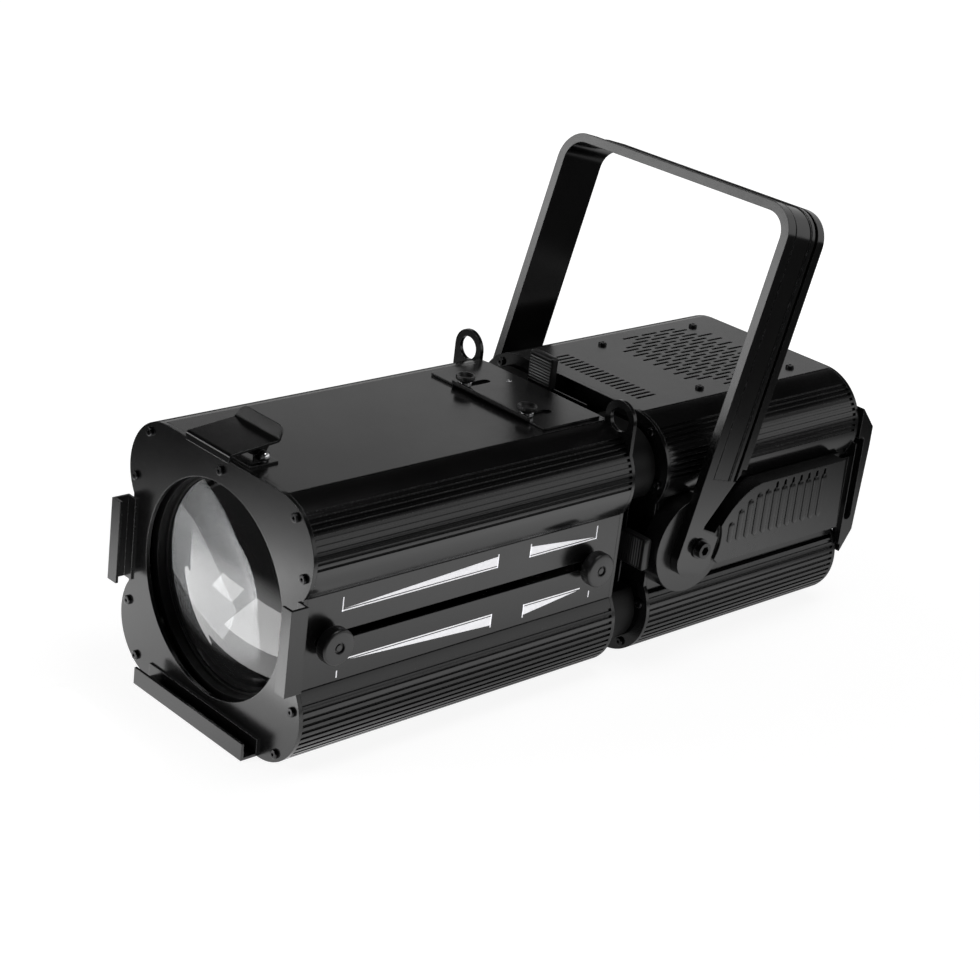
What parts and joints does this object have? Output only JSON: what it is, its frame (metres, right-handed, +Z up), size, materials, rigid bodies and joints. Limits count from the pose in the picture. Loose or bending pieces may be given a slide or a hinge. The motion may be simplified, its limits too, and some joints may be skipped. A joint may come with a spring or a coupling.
{
  "type": "ellipsoidal spotlight",
  "caption": "Black zoom profile spotlight with a ribbed two-part housing, tilting yoke, sliding lenses, framing shutters and a colour-frame holder.",
  "frame": {"origin": "on the floor under the middle of the whole lamp, as it stands on its flat bottom covers", "axes": "+X to the side with the zoom knobs; +Y from the lens back to the rear panel, along the beam axis; +Z up"},
  "size_m": [0.2428, 0.562, 0.3426],
  "materials": {
    "housing_paint": "semi-matt black powder coat",
    "rail_paint": "satin black coated extrusion",
    "yoke_paint": "satin black powder coat",
    "cover_plastic": "satin black moulding",
    "knob_plastic": "matt black",
    "grip_plastic": "ribbed black",
    "screw_black": "black oxide",
    "bright_steel": "bright nickel",
    "rod_steel": "ground",
    "carriage_black": "matt black anodised",
    "lens_glass": "polished",
    "bare_aluminium": "satin",
    "gate_black": "smooth heat-proof black",
    "emitter_face": "phosphor",
    "fan_plastic": "matt black",
    "socket_plastic": "moulded",
    "display_window": "dark window",
    "button_plastic": "grey"
  },
  "bodies": {
    "lamp_house": {"lamp_rail_upper_right": "rail_paint", "lamp_rail_upper_left": "rail_paint", "lamp_rail_lower_right": "rail_paint", "lamp_rail_lower_left": "rail_paint", "lamp_front_plate": "housing_paint", "light_tunnel": "gate_black", "lamp_top_cover": "housing_paint", "lamp_bottom_cover": "housing_paint", "lamp_side_right": "housing_paint", "lamp_side_left": "housing_paint", "lamp_rear_plate": "housing_paint", "display": "display_window", "mains_inlet": "socket_plastic", "data_sockets": "socket_plastic", "rear_lug_right": "housing_paint", "rear_lug_left": "housing_paint", "side_cover_right": "cover_plastic", "side_cover_left": "cover_plastic", "pivot_bolts": "screw_black", "condenser_lens": "lens_glass", "emitter_board": "emitter_face", "heat_sink": "bare_aluminium", "fan_frame": "fan_plastic", "lamp_screws": "screw_black"},
    "fan": {"fan_rotor": "fan_plastic"},
    "yoke": {"yoke": "yoke_paint"},
    "barrel": {"barrel_rail_upper_right": "rail_paint", "barrel_rail_upper_left": "rail_paint", "barrel_rail_lower_right": "rail_paint", "barrel_rail_lower_left": "rail_paint", "barrel_front_plate": "housing_paint", "barrel_rear_plate": "housing_paint", "barrel_top_cover": "housing_paint", "barrel_bottom_cover": "housing_paint", "barrel_side_right": "housing_paint", "barrel_side_left": "housing_paint", "thumb_screws": "bright_steel", "frame_holder_right": "housing_paint", "frame_holder_left": "housing_paint", "frame_holder_bottom": "housing_paint", "latch_bracket": "housing_paint", "guide_rods": "rod_steel", "barrel_screws": "screw_black", "gate_body": "gate_black"},
    "access_plate": {"access_plate": "housing_paint"},
    "latch": {"latch": "housing_paint"},
    "front_carriage": {"front_lens_ring": "carriage_black", "front_lens": "lens_glass"},
    "front_knob": {"front_knob": "knob_plastic"},
    "rear_carriage": {"rear_lens_ring": "carriage_black", "rear_lens": "lens_glass"},
    "rear_knob": {"rear_knob": "knob_plastic"},
    "shutter_top": {"shutter_top": "grip_plastic"},
    "shutter_bottom": {"shutter_bottom": "grip_plastic"},
    "shutter_left": {"shutter_left": "grip_plastic"},
    "shutter_right": {"shutter_right": "grip_plastic"},
    "button_1": {"button_1": "button_plastic"},
    "button_2": {"button_2": "button_plastic"},
    "button_3": {"button_3": "button_plastic"},
    "button_4": {"button_4": "button_plastic"}
  },
  "joints": [
    {"name": "yoke_tilt", "type": "hinge", "parent": "lamp_house", "child": "yoke", "pos_m": [0, 0.0775, 0.0945], "axis": [-1, 0, 0], "range_deg": [-74, 20]},
    {"name": "barrel_turn", "type": "hinge", "parent": "lamp_house", "child": "barrel", "pos_m": [0, 0.044, 0.0935], "axis": [0, 1, 0], "range_deg": [-9, 9]},
    {"name": "front_zoom", "type": "slide", "parent": "barrel", "child": "front_carriage", "axis": [0, 1, 0], "range_m": [0, 0.134]},
    {"name": "rear_zoom", "type": "slide", "parent": "barrel", "child": "rear_carriage", "axis": [0, 1, 0], "range_m": [-0.0645, 0]},
    {"name": "front_knob_turn", "type": "hinge", "parent": "front_carriage", "child": "front_knob", "pos_m": [0.1, -0.2465, 0.0935], "axis": [1, 0, 0], "range_deg": [0, 270]},
    {"name": "rear_knob_turn", "type": "hinge", "parent": "rear_carriage", "child": "rear_knob", "pos_m": [0.1, -0.0135, 0.0935], "axis": [1, 0, 0], "range_deg": [0, 270]},
    {"name": "shutter_top_slide", "type": "slide", "parent": "barrel", "child": "shutter_top", "axis": [0, 0, 1], "range_m": [-0.016, 0.026]},
    {"name": "shutter_bottom_slide", "type": "slide", "parent": "barrel", "child": "shutter_bottom", "axis": [0, 0, -1], "range_m": [-0.014, 0.046]},
    {"name": "shutter_left_slide", "type": "slide", "parent": "barrel", "child": "shutter_left", "axis": [-1, 0, 0], "range_m": [-0.014, 0.028]},
    {"name": "shutter_right_slide", "type": "slide", "parent": "barrel", "child": "shutter_right", "axis": [1, 0, 0], "range_m": [-0.014, 0.028]},
    {"name": "latch_lift", "type": "hinge", "parent": "barrel", "child": "latch", "pos_m": [0, -0.252, 0.193], "axis": [-1, 0, 0], "range_deg": [0, 34]},
    {"name": "access_slide", "type": "slide", "parent": "barrel", "child": "access_plate", "axis": [0, -1, 0], "range_m": [0, 0.02]},
    {"name": "fan_spin", "type": "hinge", "parent": "lamp_house", "child": "fan", "pos_m": [0, 0.182, 0.1635], "axis": [0, 0, 1], "continuous": true},
    {"name": "button_1_press", "type": "slide", "parent": "lamp_house", "child": "button_1", "axis": [0, -1, 0], "range_m": [0, 0.0015], "stiffness_N_per_m": 300},
    {"name": "button_2_press", "type": "slide", "parent": "lamp_house", "child": "button_2", "axis": [0, -1, 0], "range_m": [0, 0.0015], "stiffness_N_per_m": 300},
    {"name": "button_3_press", "type": "slide", "parent": "lamp_house", "child": "button_3", "axis": [0, -1, 0], "range_m": [0, 0.0015], "stiffness_N_per_m": 300},
    {"name": "button_4_press", "type": "slide", "parent": "lamp_house", "child": "button_4", "axis": [0, -1, 0], "range_m": [0, 0.0015], "stiffness_N_per_m": 300}
  ]
}
